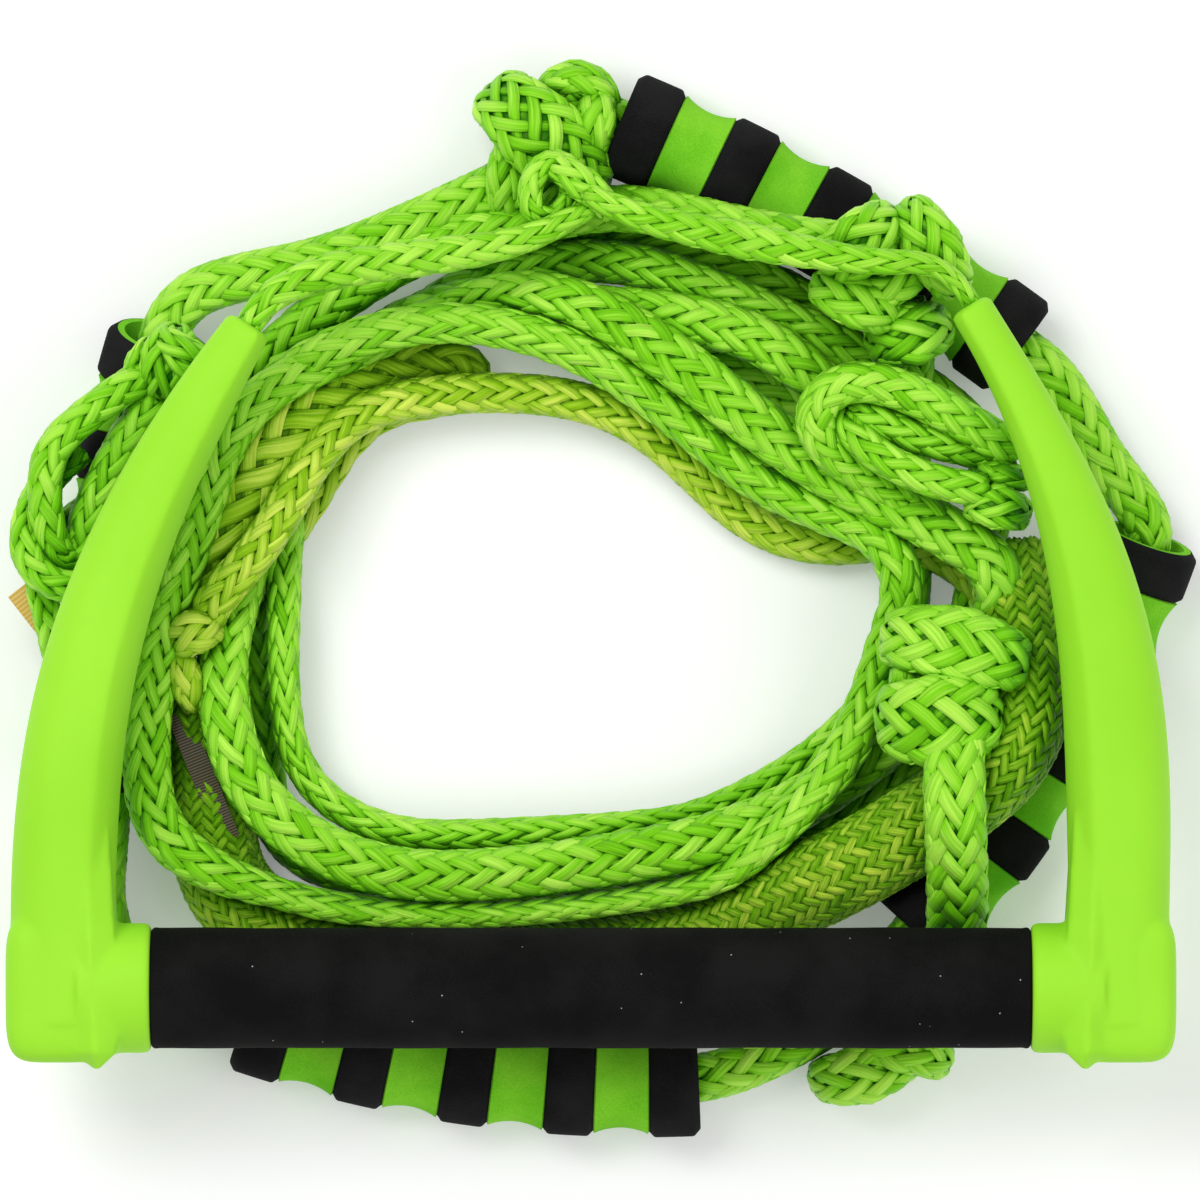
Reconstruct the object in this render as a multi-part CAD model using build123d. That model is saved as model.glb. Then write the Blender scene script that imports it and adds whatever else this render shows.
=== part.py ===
"""Surf tow rope with a ten inch handle, lying coiled flat with the handle on top.

Units are millimetres. The origin is the middle of the grip, +X runs along the grip to the
right arm, +Y points from the grip to the arm tips, and +Z is up. The surface that the rope
lies on is at z = floor.
"""

import math
import os

from build123d import *

os.makedirs("parts", exist_ok=True)

# ---- driving dimensions ---------------------------------------------------------------
floor = -50.0  # the surface under the coil, measured from the grip's axis
handle_tilt = 1.0  # degrees that the arm tips stand higher than the grip

grip_length = 211.0
grip_diameter = 28.0
tube_outer = 22.0
tube_inner = 18.0
tube_length = 236.0
bush_length = 9.0
bush_bore = 12.5
collar_diameter = 30.6
collar_end = 123.0
hub_size = (25.0, 38.0, 28.0)
hub_middle = (127.8, -0.5)
hub_fillet = 6.0
bridle_diameter = 8.0
channel_diameter = 8.6
rope_turn_in_hub = 33.0
straight_out_of_tip = 7.0

float_diameter = 26.5
float_core_diameter = 22.4
float_bore = 19.0
float_length = 112.0
band_count = 5
band_length = 12.4
band_chamfer = 1.6

rope_diameter = 13.0
leg_diameter = 9.0
loop_rope_diameter = 12.0
bungee_diameter = 22.0
bungee_core_diameter = 13.0
coil_height = 30.0

float_axis_z = floor + float_diameter / 2

# An arm's stations: distance out from the middle, distance up the arm, half width, half depth.
arm_sections = {
    "left": [
        (127.5, -6, 11.6, 13.4),
        (126.5, 30, 12.3, 13.2),
        (123.5, 60, 12.3, 12.6),
        (117.0, 90, 10.4, 11.2),
        (106.5, 115, 9.4, 9.8),
        (95.0, 138, 7.9, 8.0),
        (82.6, 158, 5.6, 5.8),
    ],
    "right": [
        (127.8, -6, 11.6, 13.4),
        (127.0, 30, 12.3, 13.2),
        (125.5, 60, 12.3, 12.6),
        (122.0, 91, 10.4, 11.2),
        (115.0, 116, 9.4, 9.8),
        (105.0, 139, 7.9, 8.0),
        (92.0, 163, 5.6, 5.8),
    ],
}

# Each float is bent round an arc: its middle, its radius and where the float starts, in degrees.
# The float runs clockwise from there.
floats = {
    "float_1": ((-164.9, -206.7), 450.0, 67.53),
    "float_2": ((-129.3, 200.3), 280.0, -19.2),
    "float_3": ((12.5, 275.8), 300.0, -87.4),
    "float_4": ((192.3, 66.1), 310.0, 183.7),
}


def side_sign(side):
    return -1 if side == "left" else 1


def tilted(shape):
    """The handle as it lies: turned about the grip's axis so that the tips stand higher."""
    return shape.rotate(Axis.X, handle_tilt)


def save(shape, name):
    shape.label = name
    export_step(shape, f"parts/{name}.step")


# ---- cords ----------------------------------------------------------------------------
def corner_radii(points):
    """The largest arc that each corner of a route leaves room for."""
    radii = []
    for before, here, after in zip(points, points[1:], points[2:]):
        run_in = here - before
        run_out = after - here
        half_turn = math.radians(run_in.get_angle(run_out)) / 2
        radii.append(0.45 * min(run_in.length, run_out.length) / math.tan(half_turn))
    return radii


def cord(name, route, diameter, bore=0.0):
    """A round cord along straight runs joined by tangent arcs."""
    points = [Vector(*p) for p in route]
    radii = corner_radii(points)
    path = FilletPolyline(*points, radius=radii)
    start = Plane(path @ 0, z_dir=path % 0)
    section = start * Circle(diameter / 2)
    if bore:
        section -= start * Circle(bore / 2)
    tube = sweep(section, path=path)
    expected = math.pi / 4 * (diameter**2 - bore**2) * path.length
    smallest = min(radii) / diameter
    print(
        f"{name}: {path.length:.0f} mm long, smallest radius {min(radii):.0f} mm"
        f" = {smallest:.1f} diameters, volume ratio {tube.volume / expected:.4f}"
    )
    return tube


def knot(middle, half_sizes, turn=0.0):
    """A knot's outer shape: a ball squeezed to three half sizes and turned about Z."""
    x, y, z = half_sizes
    ball = scale(Sphere(1.0), by=(x, y, z))
    return Pos(*middle) * Rot(0, 0, turn) * ball


# ---- handle ---------------------------------------------------------------------------
def ring(outer, inner, length):
    """A plain tube along X, centred on the origin."""
    tube = Cylinder(outer / 2, length) - Cylinder(inner / 2, length)
    return tube.rotate(Axis.Y, 90)


def rope_in_handle():
    """The route of the bridle through both arms and the tube between them."""
    route = []
    for side in ("left", "right"):
        half = [(side_sign(side) * x, y, 0.0) for x, y, _, _ in arm_sections[side][1:]]
        half[0] = (half[0][0], rope_turn_in_hub, 0.0)
        corner = (half[0][0], 0.0, 0.0)
        half = [corner] + half
        route = half[::-1] if side == "left" else route + half
    return route


def arm(side):
    """One soft moulded arm with its hub, the tube's socket and the rope's channel."""
    sign = side_sign(side)
    stations = arm_sections[side]
    sections = []
    for index, (x, y, half_width, half_depth) in enumerate(stations):
        low = stations[max(index - 1, 0)]
        high = stations[min(index + 1, len(stations) - 1)]
        along = Vector(sign * (high[0] - low[0]), high[1] - low[1], 0)
        plane = Plane((sign * x, y, 0), x_dir=(0, 0, 1), z_dir=along)
        sections.append(plane * Ellipse(half_depth, half_width))
    body = loft(sections)
    hub = Pos(sign * hub_middle[0], hub_middle[1], 0) * Box(*hub_size)
    body += fillet(hub.edges(), hub_fillet)
    collar_length = collar_end - grip_length / 2
    collar_middle = (collar_end + grip_length / 2) / 2
    collar = Cylinder(collar_diameter / 2, collar_length).rotate(Axis.Y, 90)
    collar = chamfer(collar.edges(), 0.8)
    body += Pos(sign * collar_middle, 0, 0) * collar
    socket = Cylinder(tube_outer / 2, tube_length).rotate(Axis.Y, 90)
    body -= socket
    channel = cord(f"channel_{side}", rope_in_handle(), channel_diameter)
    return body - channel


# ---- floats ---------------------------------------------------------------------------
def bent_ring(centre, radius, start, span, outer, inner, trim=0.0):
    """A tube bent round an arc, running clockwise from start, both in degrees."""
    place = Plane((radius, 0, 0), x_dir=(1, 0, 0), z_dir=(0, 1, 0))
    section = place * Circle(outer / 2)
    body = revolve(section, axis=Axis.Z, revolution_arc=span)
    if trim:
        rims = body.edges().filter_by(GeomType.CIRCLE)
        body = chamfer(rims.filter_by(lambda e: abs(e.radius - outer / 2) < 0.01), trim)
    body -= revolve(place * Circle(inner / 2), axis=Axis.Z, revolution_arc=span)
    return Pos(centre[0], centre[1], float_axis_z) * body.rotate(Axis.Z, start - span)


def make_float(name):
    """A float: its bored foam core, and the bands of the outer layer round it."""
    centre, radius, start = floats[name]
    per_mm = math.degrees(1 / radius)
    span = float_length * per_mm
    core = bent_ring(centre, radius, start, span, float_core_diameter, float_bore)
    pitch = (float_length - band_length) / (band_count - 1)
    bands = []
    for index in range(band_count):
        band_start = start - index * pitch * per_mm
        bands.append(
            bent_ring(
                centre,
                radius,
                band_start,
                band_length * per_mm,
                float_diameter,
                float_core_diameter,
                band_chamfer,
            )
        )
    return core, Compound(children=bands)


# ---- routes of the free cords ---------------------------------------------------------
def at(height, *points):
    """Points of a route that all lie at one height above the surface."""
    return [(x, y, floor + height) for x, y in points]


float_height = float_diameter / 2
float_rope_route = (
    at(float_height + 3, (-7, 214))
    + at(float_height, (7.1, 209.1), (33.5, 197.2), (57.5, 184.5), (104.2, 153.9))
    + at(float_height, (113.5, 147), (121, 136.5), (128.5, 125.5), (137, 112.5))
    + at(float_height, (121.1, 73.8), (102.1, 41.8), (78.7, 12.3), (64, -5), (50, -16))
    + at(float_height, (27, -24.5), (-11.6, -23.7), (-48.4, -18.5), (-84.8, -8.5))
    + at(float_height, (-103, -1), (-113.5, 12), (-117.2, 30), (-118, 60), (-116.3, 100))
    + at(float_height, (-112.5, 126), (-105, 156.5), (-98.5, 167), (-86, 171.5))
    + at(float_height + 1, (-66, 175), (-43, 184), (-22, 194))
)

left_leg_route = [
    (-73.5, 168, 2.0),
    (-62, 172.5, 0.0),
    (-43, 175, -5.0),
    (-22, 178, -9.0),
    (-4, 185, -12.5),
]
right_leg_route = [
    (80.5, 174.2, 7.5),
    (68, 176, 11.0),
    (50, 178, 7.0),
    (27, 181.5, -3.5),
    (6, 185.5, -11.0),
]

bungee_route = [
    (101, 104, floor + 21),
    (103, 80, floor + 31),
    (97, 58, floor + 37.5),
    (79, 43, floor + 35),
    (57, 35, floor + 25),
    (32, 27, floor + 15),
    (4, 17, floor + 11.2),
    (-24, 9.5, floor + 11.2),
    (-54, 12, floor + 11.2),
    (-78, 27, floor + 11.2),
    (-90, 53, floor + 11.2),
    (-92, 82, floor + 11.2),
    (-84, 111, floor + 11.5),
    (-68, 136, floor + 12.5),
    (-48, 153, floor + 14),
]

tail_route = [
    (87, 60, 0),
    (87, 45, 5.5),
    (88, 29, -4.5),
    (88.5, 13, -17),
    (86, -4, -24),
    (77, -14, -31),
]

loop_link_route = [
    (-100, 147, floor + 34),
    (-109, 141, floor + 34),
    (-117, 132, floor + 33.5),
]


def bridle_leg(side, route):
    """A leg's route: it leaves the arm's tip straight on from the rope inside the arm."""
    (x0, y0, _, _), (x1, y1, _, _) = arm_sections[side][-2:]
    tip = Vector(side_sign(side) * x1, y1, 0)
    onward = Vector(side_sign(side) * (x1 - x0), y1 - y0, 0).normalized() * straight_out_of_tip
    ends = [point.rotate(Axis.X, handle_tilt) for point in (tip, tip + onward)]
    return [tuple(point) for point in ends] + route


# ---- coil -----------------------------------------------------------------------------
coil_outside = [
    (-101, 82),
    (-96, 122),
    (-78, 155),
    (-38, 178),
    (6, 186),
    (47, 171.5),
    (83, 147),
    (101, 112),
    (100, 74),
    (76, 42),
    (34, 22),
    (-22, 13),
    (-68, 20),
    (-94, 46),
]
coil_hole = [
    (-68, 88),
    (-58, 116),
    (-24, 134),
    (20, 132),
    (58, 114),
    (76, 88),
    (62, 58),
    (20, 41),
    (-30, 42),
    (-60, 60),
]


def coil():
    """The coiled main line's outer shape, a flat ring that lies on the surface."""
    outside = make_face(Spline(*coil_outside, periodic=True))
    hole = make_face(Spline(*coil_hole, periodic=True))
    return extrude(Pos(0, 0, floor) * (outside - hole), coil_height)


def slot_loop(middle, length, width, turn, thickness):
    """A flat loop of rope: a long ring with round ends."""
    outer = SlotOverall(length, width)
    inner = SlotOverall(length - 2 * thickness, width - 2 * thickness)
    loop = extrude(outer - inner, thickness / 2, both=True)
    rims = loop.edges().filter_by_position(Axis.Z, thickness / 2 - 0.1, thickness / 2 + 0.1)
    rims += loop.edges().filter_by_position(Axis.Z, -thickness / 2 - 0.1, -thickness / 2 + 0.1)
    loop = fillet(rims, thickness * 0.28)
    return Pos(*middle) * Rot(0, 0, turn) * loop


def tag(middle, size, turn):
    return Pos(*middle) * Rot(0, 0, turn) * Box(*size)


# ---- handle pieces --------------------------------------------------------------------
save(ring(grip_diameter, tube_outer, grip_length), "grip_sleeve")
save(ring(tube_outer, tube_inner, tube_length), "core_tube")
for side in ("left", "right"):
    bush_middle = side_sign(side) * (tube_length - bush_length) / 2
    save(Pos(bush_middle, 0, 0) * ring(tube_inner, bush_bore, bush_length), f"tube_bush_{side}")
    save(tilted(arm(side)), f"arm_{side}")
save(tilted(cord("bridle_inner", rope_in_handle(), bridle_diameter)), "bridle_inner")

# ---- bridle and its knot --------------------------------------------------------------
for side, route in (("left", left_leg_route), ("right", right_leg_route)):
    leg = cord(f"bridle_leg_{side}", bridle_leg(side, route), leg_diameter)
    save(leg, f"bridle_leg_{side}")
save(slot_loop((0, 192, -11), 27, 24, 80, 9), "bridle_loop")
save(knot((-10.5, 204, floor + 15.5), (11, 19, 15), 0), "bridle_knot")

# ---- float section --------------------------------------------------------------------
for name in floats:
    core, bands = make_float(name)
    save(core, f"{name}_core")
    save(bands, f"{name}_bands")
save(cord("float_rope", float_rope_route, rope_diameter), "float_rope")
save(knot((72, 172, floor + 40.8), (17.5, 19.5, 12), -20), "stopper_knot_top")
save(knot((69.5, -18.5, floor + 14), (15, 12.5, 13)), "end_knot")

# ---- bungee section -------------------------------------------------------------------
save(cord("bungee_sleeve", bungee_route, bungee_diameter, bungee_core_diameter), "bungee_sleeve")
save(cord("bungee_core", bungee_route, bungee_core_diameter), "bungee_core")
save(knot((87, 74, floor + 42.5), (17.5, 16.5, 12.5), -15), "bungee_knot")
save(cord("tail_rope", tail_route, rope_diameter), "tail_rope")

# ---- main line and boat end -----------------------------------------------------------
save(coil(), "main_line_coil")
save(slot_loop((80, 131, floor + 36.5), 46, 27, -30, 11.5), "bight_loop")
save(knot((98, 117, floor + 38), (9, 10, 8)), "bight_knot")
save(slot_loop((-124, 108, floor + 33), 54, 31, 84, 11.5), "boat_loop")
save(cord("boat_loop_link", loop_link_route, loop_rope_diameter), "boat_loop_link")
save(knot((-95, 149, floor + 35), (9.5, 9.5, 8)), "boat_loop_knot")
save(knot((-95, 81, floor + 33), (8, 9.5, 7)), "splice_knot")
save(tag((-87, 51, floor + 31), (12, 34, 0.9), 12), "care_tag")
save(tag((-134, 88, floor + 26), (12, 8, 0.9), 25), "size_tag")
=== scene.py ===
"""The surf tow rope's looks: braided rope, foam floats, moulded arms and a foam grip.

Every object is in metres in the CAD model's frame. The tables below are in millimetres, and
points() turns them into metres: X runs along the grip to the right arm, Y from the grip to
the arm tips, Z up, and the floor is at z = FLOOR.
"""

import math

import bpy
import numpy as np
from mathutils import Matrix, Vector


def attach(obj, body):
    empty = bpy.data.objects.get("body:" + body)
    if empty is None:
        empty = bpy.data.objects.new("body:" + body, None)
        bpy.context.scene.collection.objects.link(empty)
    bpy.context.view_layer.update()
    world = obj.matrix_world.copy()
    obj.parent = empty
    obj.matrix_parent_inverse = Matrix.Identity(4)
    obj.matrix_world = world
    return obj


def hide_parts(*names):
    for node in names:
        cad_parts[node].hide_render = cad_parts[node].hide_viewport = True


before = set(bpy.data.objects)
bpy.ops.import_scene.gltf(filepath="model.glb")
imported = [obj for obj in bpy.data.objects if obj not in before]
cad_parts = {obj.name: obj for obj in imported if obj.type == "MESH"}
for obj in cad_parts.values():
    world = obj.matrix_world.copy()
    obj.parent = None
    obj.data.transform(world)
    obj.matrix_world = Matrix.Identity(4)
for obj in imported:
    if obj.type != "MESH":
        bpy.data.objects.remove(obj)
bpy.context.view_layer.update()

MM = 0.001
FLOOR = -50.0
ROPE_BODY = "handle_and_rope"
random = np.random.default_rng(11)


# ---- small tools ----------------------------------------------------------------------
def points(route):
    """A route in millimetres as an array in metres."""
    return np.array(route, float) * MM


def unit(vectors):
    return vectors / np.maximum(np.linalg.norm(vectors, axis=-1, keepdims=True), 1e-12)


def lengths_along(path):
    steps = np.linalg.norm(np.diff(path, axis=0), axis=1)
    return np.concatenate([[0.0], np.cumsum(steps)])


def resample(path, step):
    """The same line with points a step apart, in metres."""
    along = lengths_along(path)
    count = max(4, int(round(along[-1] / step)) + 1)
    wanted = np.linspace(0.0, along[-1], count)
    return np.column_stack([np.interp(wanted, along, path[:, axis]) for axis in range(3)])


def spline(route):
    """Points of the smooth NURBS spline that has the route as its control points."""
    curve = bpy.data.curves.new("route", "CURVE")
    curve.dimensions = "3D"
    curve.resolution_u = 10
    line = curve.splines.new("NURBS")
    line.points.add(len(route) - 1)
    for point, place in zip(line.points, points(route)):
        point.co = (*place, 1.0)
    line.order_u = 3
    line.use_endpoint_u = True
    holder = bpy.data.objects.new("route", curve)
    mesh = bpy.data.meshes.new_from_object(holder)
    path = np.array([vertex.co[:] for vertex in mesh.vertices])
    bpy.data.objects.remove(holder)
    bpy.data.curves.remove(curve)
    bpy.data.meshes.remove(mesh)
    return path


def ring_quads(rings, sides, first=0, closed=False):
    """Quads between rings of vertices. closed joins the last ring to the first."""
    ring = np.arange(rings if closed else rings - 1)[:, None]
    here = first + ring * sides
    ahead = first + (ring + 1) % rings * sides
    side = np.arange(sides)[None, :]
    near = (side + 1) % sides
    quads = np.stack([here + side, here + near, ahead + near, ahead + side], axis=-1)
    return quads.reshape(-1, 4).tolist()


def tube_faces(rings, sides, first=0):
    """Quads of a tube of rings, with both ends capped."""
    start = list(range(first + sides - 1, first - 1, -1))
    last = first + (rings - 1) * sides
    return ring_quads(rings, sides, first) + [start, list(range(last, last + sides))]


def merged(shells):
    """The vertices and faces of several shells as one mesh."""
    vertices, faces = [], []
    count = 0
    for shell_vertices, shell_faces in shells:
        vertices.append(shell_vertices)
        faces += [[corner + count for corner in face] for face in shell_faces]
        count += len(shell_vertices)
    return np.concatenate(vertices), faces


def new_object(name, vertices, faces, material, attributes=None):
    mesh = bpy.data.meshes.new(name)
    mesh.from_pydata(np.asarray(vertices).tolist(), [], faces)
    mesh.polygons.foreach_set("use_smooth", [True] * len(mesh.polygons))
    for key, values in (attributes or {}).items():
        if values.ndim == 1:
            mesh.attributes.new(key, "FLOAT", "POINT").data.foreach_set("value", values)
        else:
            layer = mesh.attributes.new(key, "FLOAT_VECTOR", "POINT")
            layer.data.foreach_set("vector", values.ravel())
    mesh.materials.append(material)
    piece = bpy.data.objects.new(name, mesh)
    bpy.context.scene.collection.objects.link(piece)
    return piece


def belongs(piece, nodes=(), body=ROPE_BODY):
    """Says which body a piece rides on, and the CAD nodes that it stands for."""
    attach(piece, body)
    if nodes:
        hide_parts(*nodes)


# ---- materials ------------------------------------------------------------------------
# Reach (metres) and samples of the ambient occlusion that paints shade into the fibre colours.
PAINTED_SHADE_REACH = 0.016
PAINTED_SHADE_SAMPLES = 6


def new_material(name):
    material = bpy.data.materials.new(name)
    material.use_nodes = True
    tree = material.node_tree
    return material, tree, tree.nodes["Principled BSDF"]


def set_inputs(tree, node, inputs):
    for key, value in inputs.items():
        if isinstance(value, bpy.types.NodeSocket):
            tree.links.new(value, node.inputs[key])
        else:
            node.inputs[key].default_value = value


def add_node(tree, kind, inputs, **settings):
    node = tree.nodes.new("ShaderNode" + kind)
    for key, value in settings.items():
        setattr(node, key, value)
    set_inputs(tree, node, inputs)
    return node


def attribute(tree, name, output="Vector"):
    return add_node(tree, "Attribute", {}, attribute_name=name).outputs[output]


def noise(tree, place, scale, detail, **inputs):
    settings = {"Vector": place, "Scale": scale, "Detail": detail, **inputs}
    return add_node(tree, "TexNoise", settings).outputs["Fac"]


def arithmetic(tree, operation, *terms):
    return add_node(tree, "Math", dict(enumerate(terms)), operation=operation).outputs["Value"]


def relief(tree, height, strength, distance):
    settings = {"Height": height, "Strength": strength, "Distance": distance}
    return add_node(tree, "Bump", settings).outputs["Normal"]


def color_ramp(tree, factor, stops):
    ramp = add_node(tree, "ValToRGB", {"Fac": factor})
    elements = ramp.color_ramp.elements
    while len(elements) < len(stops):
        elements.new(0.5)
    for element, (place, color) in zip(elements, stops):
        element.position = place
        element.color = (*color, 1.0)
    return ramp.outputs["Color"]


def fibre_material(name, dark, middle, bright, yarn=1.5):
    """Satin braided fibre: strands of fine yarn, a yellower painted highlight on the crowns,
    deep painted shade in the gaps.
    """
    material, tree, shader = new_material(name)
    fibre = attribute(tree, "fibre")
    tone_and_shade = attribute(tree, "tone_and_shade", "Fac")
    layers = []
    for across, detail in ((yarn, 1.0), (4.5, 3.0)):
        stretch = add_node(tree, "Mapping", {"Vector": fibre, "Scale": (0.07, across, 1.0)})
        layers.append(noise(tree, stretch.outputs["Vector"], 1.0, detail))
    yarns = arithmetic(tree, "MULTIPLY_ADD", layers[1], 0.45, layers[0])
    # Painted shade: an ambient-occlusion node pulls the colour down towards the dark stop where
    # strands and ropes crowd each other, and lifts open crowns a little as painted highlight.
    gaps = add_node(tree, "AmbientOcclusion", {"Distance": PAINTED_SHADE_REACH}, samples=PAINTED_SHADE_SAMPLES)
    painted_gap_shade = add_node(
        tree,
        "MapRange",
        {"Value": gaps.outputs["AO"], "From Min": 0.10, "From Max": 0.80, "To Min": -0.55,
         "To Max": 0.08},
    )
    # Yarn streaks plus the per-vertex tone attribute, which carries random tone and the painted
    # shade of the weave.
    streaked = arithmetic(tree, "MULTIPLY_ADD", yarns, 0.62, tone_and_shade)
    shaded = arithmetic(tree, "ADD", streaked, painted_gap_shade.outputs["Result"])
    set_inputs(tree, shader, {
        "Base Color": color_ramp(tree, shaded, [(0.12, dark), (0.62, middle), (1.0, bright)]),
        "Normal": relief(tree, yarns, 0.5, 0.0007),
        "Roughness": 0.42,
        "Sheen Weight": 0.12,
        "Sheen Tint": (*bright, 1.0),
        "Specular IOR Level": 0.45,
        "Specular Tint": (*bright, 1.0),
    })
    return material


def foam_material(name, base, speck, lint=0.0):
    """Closed-cell foam: a fine grain with slightly lighter cells, and lint if asked for."""
    material, tree, shader = new_material(name)
    place = add_node(tree, "TexCoord", {}).outputs["Object"]
    cells = noise(tree, place, 2600.0, 4.0, Roughness=0.7)
    patches = noise(tree, place, 55.0, 3.0)
    mixed = arithmetic(tree, "MULTIPLY_ADD", cells, 0.7, patches)
    color = color_ramp(tree, mixed, [(0.72, base), (1.0, speck)])
    if lint:
        dots = add_node(
            tree, "TexVoronoi", {"Vector": place, "Scale": 420.0, "Randomness": 1.0}
        )
        chance = add_node(tree, "SeparateColor", {"Color": dots.outputs["Color"]})
        small = arithmetic(tree, "LESS_THAN", dots.outputs["Distance"], 0.075)
        rare = arithmetic(tree, "LESS_THAN", chance.outputs["Red"], lint)
        both = arithmetic(tree, "MULTIPLY", small, rare)
        mix = add_node(tree, "Mix", {}, data_type="RGBA")
        set_inputs(tree, mix, {0: both, 6: color, 7: (0.42, 0.4, 0.38, 1.0)})
        color = mix.outputs[2]
    set_inputs(tree, shader, {
        "Base Color": color,
        "Normal": relief(tree, cells, 0.35, 0.0003),
        "Roughness": 0.9,
        "Specular IOR Level": 0.08,
    })
    return material


def moulded_material(name, low, high, roughness, **inputs):
    """Soft moulded rubber or plastic with faint flow marks and a fine skin."""
    material, tree, shader = new_material(name)
    place = add_node(tree, "TexCoord", {}).outputs["Object"]
    flow = noise(tree, place, 22.0, 4.0)
    skin = noise(tree, place, 1800.0, 2.0)
    gloss = add_node(
        tree,
        "MapRange",
        {"Value": flow, "To Min": roughness - 0.05, "To Max": roughness + 0.06},
    )
    set_inputs(tree, shader, {
        "Base Color": color_ramp(tree, flow, [(0.3, low), (0.75, high)]),
        "Roughness": gloss.outputs["Result"],
        "Normal": relief(tree, skin, 0.06, 0.0002),
        **inputs,
    })
    return material


# Each fibre material runs from a deep green of painted shade, through the rope's own colour, to
# a yellower colour that the crowns reach, partly yarn variation and partly painted highlight.
ROPE_GREEN = fibre_material(
    "rope_green", (0.004, 0.13, 0.001), (0.20, 0.64, 0.010), (0.50, 0.90, 0.10)
)
ROPE_OLIVE = fibre_material(
    "rope_olive", (0.03, 0.15, 0.001), (0.28, 0.56, 0.010), (0.70, 0.84, 0.12)
)
BUNGEE_BRAID = fibre_material(
    "bungee_braid", (0.010, 0.09, 0.001), (0.13, 0.38, 0.005), (0.50, 0.68, 0.06), yarn=2.2
)
GRIP_FOAM = foam_material(
    "grip_foam", (0.0045, 0.0045, 0.0045), (0.010, 0.0095, 0.0095), lint=0.10
)
FLOAT_BLACK = foam_material("float_black", (0.006, 0.006, 0.0062), (0.014, 0.014, 0.0145))
FLOAT_GREEN = foam_material("float_green", (0.13, 0.50, 0.012), (0.24, 0.66, 0.03))
SOFT_RUBBER = {
    "Specular IOR Level": 0.2,
    "Subsurface Weight": 0.15,
    "Subsurface Radius": (0.5, 1.0, 0.1),
    "Subsurface Scale": 0.003,
}
ARM_RUBBER = moulded_material(
    "arm_rubber", (0.31, 0.75, 0.022), (0.36, 0.81, 0.034), 0.60, **SOFT_RUBBER
)


# ---- braids ---------------------------------------------------------------------------
def along_path(value, share):
    """A number, or a list of (share of the length, number), at each share of a path."""
    if np.isscalar(value):
        return np.full(len(share), float(value))
    return np.interp(share, [place for place, _ in value], [number for _, number in value])


def path_frames(path, axis, roll):
    """Tangent, side and upper directions along a path, for a rope that lies flat."""
    tangent = unit(np.gradient(path, axis=0))
    if axis is None:
        side = unit(np.cross(tangent, (0.0, 0.0, 1.0)))
    else:
        side = unit(axis - (tangent @ axis)[:, None] * tangent)
    upper = np.cross(side, tangent)
    cos, sin = np.cos(roll)[:, None], np.sin(roll)[:, None]
    return tangent, side * cos + upper * sin, upper * cos - side * sin


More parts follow.
